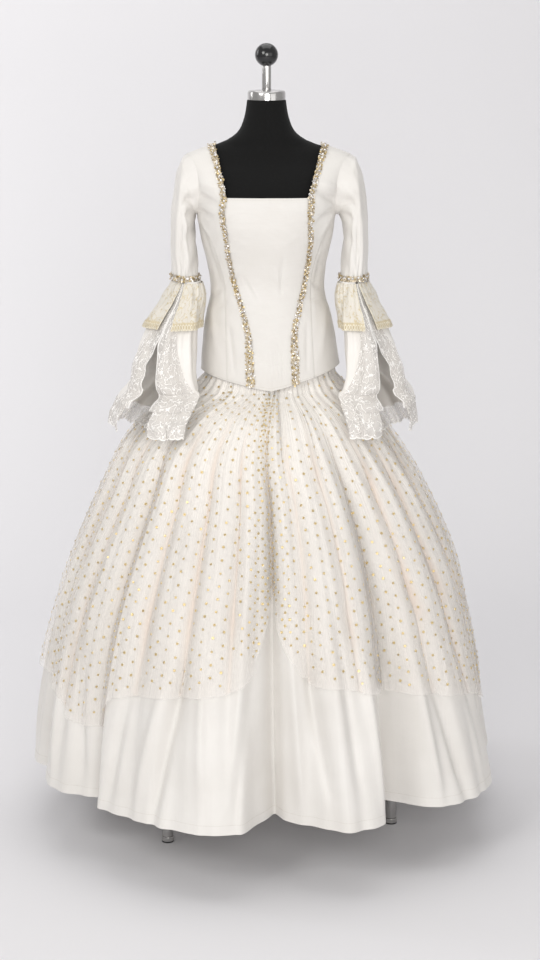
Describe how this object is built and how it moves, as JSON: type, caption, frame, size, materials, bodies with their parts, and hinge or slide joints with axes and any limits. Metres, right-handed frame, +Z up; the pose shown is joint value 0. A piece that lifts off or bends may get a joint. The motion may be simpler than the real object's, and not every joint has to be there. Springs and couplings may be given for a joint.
{
  "type": "rococo costume gown on a limbless dress form and stand",
  "caption": "Full-length rococo costume gown: fitted bodice with square neck, split lace-edged sleeve flounces and a gathered dotted net overskirt, on a limbless black dress form and stand.",
  "frame": {"origin": "on the floor under the feet, on the stand's axis, at the middle of the bounding box", "axes": "+Z up, -Y out of the gown's front, +X to the gown's left arm"},
  "size_m": [1.0383, 1.0545, 1.746],
  "materials": {
    "satin": "cream satin, soft sheen",
    "ribbed_satin": "cream ribbed satin, fine cross ribs",
    "dotted_net": "sheer ivory net with gold glitter dots",
    "lace": "white floral lace on fine net",
    "brocade": "cream brocade with pale gold flowers",
    "sequin_trim": "gold and clear sequin trim",
    "form_cover": "matt black cover",
    "chrome": "polished chrome",
    "black_plastic": "gloss black",
    "rubber": "matt black rubber"
  },
  "bodies": {
    "root": {"front_centre": "ribbed_satin", "front_side_left": "satin", "front_side_right": "satin", "underarm_left": "satin", "underarm_right": "satin", "back_side_left": "satin", "back_side_right": "satin", "back_centre_left": "satin", "back_centre_right": "satin", "front_trim_left": "sequin_trim", "front_trim_right": "sequin_trim", "waistband": "satin", "underskirt_front_left": "satin", "underskirt_back_left": "satin", "underskirt_back_right": "satin", "underskirt_front_right": "satin", "overskirt_front_left": "dotted_net", "overskirt_back_left": "dotted_net", "overskirt_back_right": "dotted_net", "overskirt_front_right": "dotted_net", "sleeve_left": "satin", "flounce_left": "satin", "flounce_lace_hem_left": "lace", "flounce_lace_front_left": "lace", "flounce_lace_outer_left": "lace", "cuff_left": "brocade", "elbow_trim_left": "sequin_trim", "sleeve_right": "satin", "flounce_right": "satin", "flounce_lace_hem_right": "lace", "flounce_lace_front_right": "lace", "flounce_lace_outer_right": "lace", "cuff_right": "brocade", "elbow_trim_right": "sequin_trim", "dress_form": "form_cover", "stand_hub": "chrome", "stand_pole": "chrome", "neck_cap": "chrome", "neck_rod": "chrome", "ball_finial": "black_plastic", "stand_leg_1": "chrome", "foot_tip_1": "rubber", "stand_leg_2": "chrome", "foot_tip_2": "rubber", "stand_leg_3": "chrome", "foot_tip_3": "rubber"}
  },
  "joints": []
}
